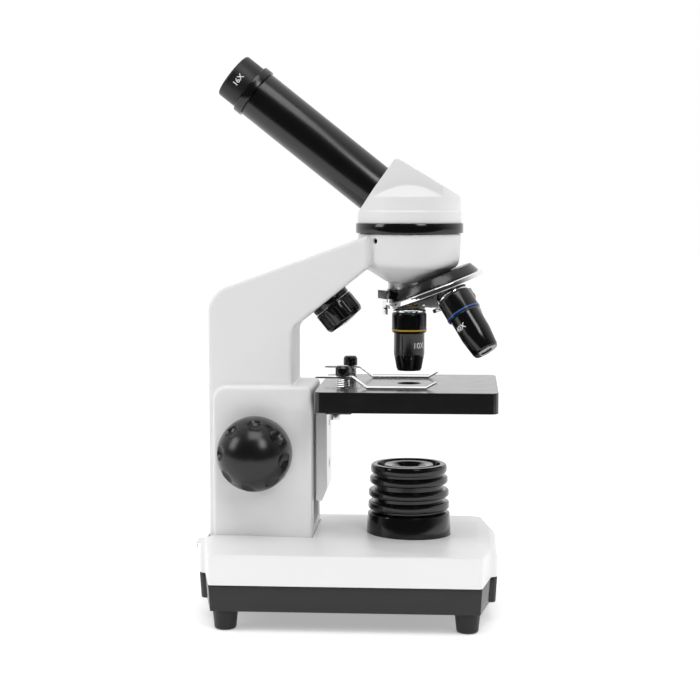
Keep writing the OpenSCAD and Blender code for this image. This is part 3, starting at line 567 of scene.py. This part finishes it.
def base_inside(gap):
    """Outline of the base pulled in by an amount."""
    side = [(x + gap if x < BASE_MIDDLE_X else x - gap, y + gap) for x, y in BASE_SIDE]
    return both_sides(side)


def base():
    """The moulded white shell of the base, with its sloping roof."""
    roof = [(x, side * y, z) for x, y, z in ROOF for side in (-1, 1)]
    plan = [(*point, 1.2) for point in both_sides(BASE_SIDE)]
    obj = link_mesh("base_moulding", extruded(rounded(plan, 4), 18, 50, upright=False), OPTICAL)
    combine(obj, [(hull_of(roof), OPTICAL)], "INTERSECT")
    melt(obj, 0.7, 5, 0.4)
    combine(obj, [
        (block((-120, -70, 10), (60, 70, SEAM_Z)), OPTICAL),
        (extruded(base_inside(BASE_WALL), 20, 36, upright=False), OPTICAL),
        (block(*ARM_POCKET), OPTICAL),
        (rod(LAMP_HOLE_RADIUS, LAMP_SEAT_Z, 50, 96), OPTICAL),
        (rod(JACK_RADIUS, 0, 14), JACK),
        (block(*SWITCH_WINDOW), OPTICAL),
    ])
    return piece(obj, "white_plastic", "stand", ["base_shell"])


def base_tray():
    """The black lower half of the base, a little narrower at its foot."""
    mesh = extruded(both_sides(BASE_SIDE), FOOT_TOP_Z, SEAM_Z, upright=False)
    for vert in mesh.verts:
        if vert.co.z < FOOT_TOP_Z + 0.1:
            vert.co.x = (vert.co.x - BASE_MIDDLE_X) * FOOT_TAPER[0] + BASE_MIDDLE_X
            vert.co.y *= FOOT_TAPER[1]
    bmesh.ops.bevel(
        mesh, geom=mesh.edges[:], offset=0.3, segments=3, profile=0.5, affect="EDGES",
        clamp_overlap=True)
    obj = link_mesh("base_tray", mesh, OPTICAL)
    combine(obj, [
        (extruded(base_inside(TRAY_WALL), FOOT_TOP_Z + TRAY_FLOOR, 30, upright=False), OPTICAL),
        (block(*BATTERY_DOOR), OPTICAL),
    ])
    return piece(obj, "black_plastic", "stand", ["base_plate"])


HEAD_RADIUS = 26.3
HEAD_WALL = 3.5
WEDGE_HALF_WIDTH = 19.3
TUBE_RADIUS = 12.5
HEAD_SIDE = [(-36.4, 190), (40, 190), (40, 204.2), (-4.6, 231.1, 1), (-6.9, 231.1, 0.6)]


def head():
    """The white head: a turned wall and cone, and a wedge through which the tube comes out."""
    wall = [
        (0, 199), (HEAD_RADIUS, 199), (HEAD_RADIUS, 205.1), (HEAD_RADIUS - 0.5, 205.4),
        (HEAD_RADIUS - 0.5, 212.5), (11.4, 225), (0, 225)]
    core = [(0, 201), (HEAD_RADIUS - 0.55, 201), (HEAD_RADIUS - 0.55, 240), (0, 240)]
    slopes = rounded(HEAD_SIDE, 5)
    halves = []
    for profile, half_width in ((wall, 50), (core, WEDGE_HALF_WIDTH)):
        half = link_mesh("half", turned(profile, 128), OPTICAL)
        wedge = extruded(slopes, -half_width, half_width)
        halves.append(combine(half, [(wedge, OPTICAL)], "INTERSECT"))
    obj = merge("head_moulding", halves)
    melt(obj, 0.35, 3, 0.3)
    combine(obj, [
        (block((-40, -40, 190), (40, 40, 199.3)), OPTICAL),
        (turned([
            (0, 190), (HEAD_RADIUS - HEAD_WALL, 190), (HEAD_RADIUS - HEAD_WALL, 208), (0, 208)]),
         OPTICAL),
        (rod(TUBE_RADIUS, 0, 60, 96), TUBE),
    ])
    return piece(obj, "white_plastic", "head", ["head_shell"])


# ---------------------------------------------------------------- lamps

# Radius, underside and top of each fin
FINS = [(21.0, 52.8, 57.0), (20.8, 59.2, 63.2), (20.2, 65.9, 69.9)]


def fin(radius, low, high):
    """The rounded rim of one cooling fin."""
    ease = 1.5
    rim = [(17.6, low)]
    for step in range(7):
        turn = math.radians(-90 + 30 * step)
        middle = low + ease if step < 4 else high - ease
        rim.append((radius - ease + ease * math.cos(turn), middle + ease * math.sin(turn)))
    return rim + [(17.6, high)]


def lamp():
    """The finned lamp housing, turned in one piece and open from below."""
    profile = [(15, LAMP_SEAT_Z), (21.55, LAMP_SEAT_Z), (21.6, 40.5), (21.2, 50.2), (21.0, 50.8),
               (20.4, 51.2), (17.6, 51.5)]
    for rim in FINS:
        profile += fin(*rim)
    profile += [
        (17.7, 71.5), (18.7, 71.5), (19.3, 71.8), (19.6, 72.5), (19.6, 74.6), (19.3, 75.5),
        (18.6, 76), (16.6, 76), (16.2, 75.7), (15.8, 74), (13, 74), (12.7, 75.2), (12.3, 75.6),
        (8.7, 75.6), (8.3, 75.4), (5.5, 73.7), (5, 73.5), (4.9, 73.2), (4.9, 70), (15, 70)]
    obj = link_mesh("lamp_turned", turned(profile, 160, ring=True), OPTICAL)
    return piece(obj, "gloss_black", "stand", ["lamp_housing"])


BARREL = [
    (3.05, 2.9), (10.3, 2.9), (10.7, 3.1), (10.8, 3.5), (10.8, 12.2), (10.5, 13), (9.9, 13.9),
    (9.2, 14.2), (7.9, 14.2), (7.6, 14), (7.6, 7.4), (3.05, 7.4)]
FLUTES = 12


def upper_lamp_barrel():
    """The grip of the upper lamp, with shallow lengthwise flutes."""
    obj = link_mesh("barrel_turned", turned(BARREL, 144, ring=True), LAMP)
    flutes = []
    for number in range(FLUTES):
        turn = Matrix.Rotation(math.tau * number / FLUTES, 4, "Z")
        outline = rounded([(9.75, -1.45, 0.5), (9.75, 1.45, 0.5), (12, 1.6), (12, -1.6)], 4)
        flutes.append((extruded(outline, 4.6, 12, upright=False), LAMP @ turn))
    combine(obj, flutes)
    soften(obj, 0.25 * MM, angle=40)
    return piece(obj, "gloss_black", "upper_lamp", ["upper_lamp_barrel"])


# ---------------------------------------------------------------- other turned parts

TUBE_END = 99.2
EYECUP = TUBE_END + 4.8
BORE = 11.65
# Node, material, frame, profile
TURNED = [
    ("eyepiece_tube", "satin_black", TUBE, [
        (BORE, 18), (TUBE_RADIUS, 18), (TUBE_RADIUS, TUBE_END - 0.4), (12.4, TUBE_END - 0.1),
        (12.1, TUBE_END), (BORE, TUBE_END)]),
    ("eyepiece_barrel", "satin_black", TUBE, [
        (10.4, 66), (11.6, 66), (11.6, TUBE_END + 0.3), (13, TUBE_END + 0.3),
        (13.3, TUBE_END + 0.4), (13.4, TUBE_END + 0.7), (13.4, TUBE_END + 4.3),
        (13.3, TUBE_END + 4.6), (13, EYECUP), (9.6, EYECUP), (9.6, 88), (7, 88), (7, 85),
        (10.4, 85)]),
    ("eyecup", "black_rubber", TUBE, [
        (9, EYECUP), (11.8, EYECUP), (12, EYECUP + 0.2), (12, EYECUP + 9.9),
        (11.9, EYECUP + 10.4), (11.6, EYECUP + 10.8), (11.2, EYECUP + 11.05),
        (10.8, EYECUP + 11.1), (10.3, EYECUP + 11.05), (10, EYECUP + 10.8),
        (9.6, EYECUP + 10.1), (9, EYECUP + 10)]),
    ("swivel_ring", "gloss_black", OPTICAL, [
        (16, 194.1), (26.7, 194.1), (27.1, 194.25), (27.3, 194.7), (27.3, 198.7),
        (27.1, 199.15), (26.7, 199.3), (16, 199.3)]),
    ("upper_lamp_collar", "gloss_black", LAMP, [
        (0, 0), (10.3, 0), (10.5, 0.2), (10.5, 2.3), (10.4, 2.55), (10.2, 2.6), (9.8, 2.6),
        (9.8, 2.8), (3, 2.8), (3, 8), (0, 8)]),
]
SEAT = 44.9


def objective(upper_end, lower_end, tip, tip_radius):
    """The profile of an objective: shoulder, upper body, groove, lower body, cone and tip."""
    return [
        (5, SEAT - 4.5), (6.9, SEAT - 4.5), (7, SEAT - 4.3), (7, SEAT), (7.9, SEAT),
        (8.4, SEAT + 0.25), (8.8, SEAT + 0.9), (8.9, SEAT + 1.6), (8.9, upper_end - 0.15),
        (8.75, upper_end), (8.5, upper_end), (8.5, upper_end + 0.9), (8.7, upper_end + 0.9),
        (8.8, upper_end + 1), (8.8, upper_end + 1.5), (8.7, upper_end + 1.65),
        (7.9, upper_end + 2.1), (7.85, upper_end + 2.25), (7.85, lower_end - 0.15),
        (7.8, lower_end + 0.1), (tip_radius + 0.42, tip - 1.1), (tip_radius + 0.3, tip - 0.9),
        (tip_radius, tip - 0.5), (tip_radius, tip - 0.15), (tip_radius - 0.15, tip), (3.2, tip),
        (3.2, tip - 2), (5, tip - 2)]


# Node, end of the upper body, end of the lower body, tip, radius at the tip
OBJECTIVES = [
    ("objective_10x", 53.7, 66.6, 74.9, 6.05),
    ("objective_40x", 54.7, 68, 77.9, 6.3),
    ("objective_4x", 51, 58.5, 65, 6.5),
]


def lathe():
    """Clean turned meshes for the round parts, where the CAD facets would show."""
    for node, material, place, profile in TURNED:
        ring = profile[0][0] > 0
        obj = link_mesh(node + "_turned", turned(profile, 128, ring), place)
        piece(obj, material, BODY_OF[node], [node])
    for number, (node, *sizes) in enumerate(OBJECTIVES):
        mesh = turned(objective(*sizes), 128, ring=True)
        obj = link_mesh(node + "_turned", mesh, objective_frame(number))
        piece(obj, "gloss_black", "revolver", [node])


# ---------------------------------------------------------------- bands and printed marks

BANDS = ["band_yellow", "band_blue", "band_red"]


def bands():
    """One coloured ring on each objective, by its power."""
    for number, material in enumerate(BANDS):
        height = OBJECTIVES[number][1]
        profile = [
            (8.5, height + 0.02), (8.95, height + 0.02), (9.1, height + 0.15), (9.1, height + 0.75),
            (8.95, height + 0.88), (8.5, height + 0.88)]
        ring = link_mesh(material, turned(profile, 96, ring=True), objective_frame(number))
        piece(ring, material, "revolver", ["objective_bands"])


LETTER_WEIGHT = 0.07
LETTER_TOP = 0.04
LETTER_ROOT = -0.05
# Name, words, frame, radius, height, facing, letter size, body, and 1 or -1 for which way is up
MARKS = [
    ("mark_eyepiece", "16X", TUBE, 12, 109.6, (0, -1, 0), 3.8, "eyepiece", 1),
    ("mark_10x", "10X", objective_frame(0), 7.85, 62, (0.66, -0.75, 0), 4.1, "revolver", -1),
    ("mark_40x", "40X", objective_frame(1), 7.85, 62.4, (-0.6, -0.75, -0.2), 3.8, "revolver", -1),
    ("mark_4x", "4X", objective_frame(2), 7.85, 55.8, (-0.5, 0.8, 0), 3.8, "revolver", -1),
]


def mark(name, words, place, radius, height, facing, size, body, upwards):
    """Generic printed letters on a cylinder, centred on the side that faces a direction.

    They stand towards the cylinder's +Z, or towards its -Z when upwards is -1.
    """
    side = place.to_3x3().inverted() @ Vector(facing)
    turn = math.atan2(side.y, side.x)
    curve = bpy.data.curves.new(name, "FONT")
    curve.body = words
    curve.size = size
    curve.align_x = "CENTER"
    curve.align_y = "CENTER"
    curve.resolution_u = 4
    curve.offset = LETTER_WEIGHT
    flat = bpy.data.objects.new(name + "_flat", curve)
    bpy.context.collection.objects.link(flat)
    graph = bpy.context.evaluated_depsgraph_get()
    data = bpy.data.meshes.new_from_object(flat.evaluated_get(graph))
    bpy.data.objects.remove(flat)
    mesh = bmesh.new()
    mesh.from_mesh(data)
    bmesh.ops.subdivide_edges(mesh, edges=mesh.edges, cuts=2)
    shell = bmesh.ops.extrude_face_region(mesh, geom=mesh.faces[:])
    raised = {item for item in shell["geom"] if isinstance(item, bmesh.types.BMVert)}
    for vert in mesh.verts:
        across, up = upwards * vert.co.x, upwards * vert.co.y
        angle = turn + across / radius
        reach = radius + (LETTER_TOP if vert in raised else LETTER_ROOT)
        vert.co = (reach * math.cos(angle), reach * math.sin(angle), height + up)
    return piece(link_mesh(name, mesh, place), "white_print", body)


def marks():
    """The generic magnifications on the eyepiece and the objectives."""
    for row in MARKS:
        mark(*row)


camera()
studio()
dress_cad()
arm()
base()
base_tray()
head()
lamp()
upper_lamp_barrel()
lathe()
bands()
marks()
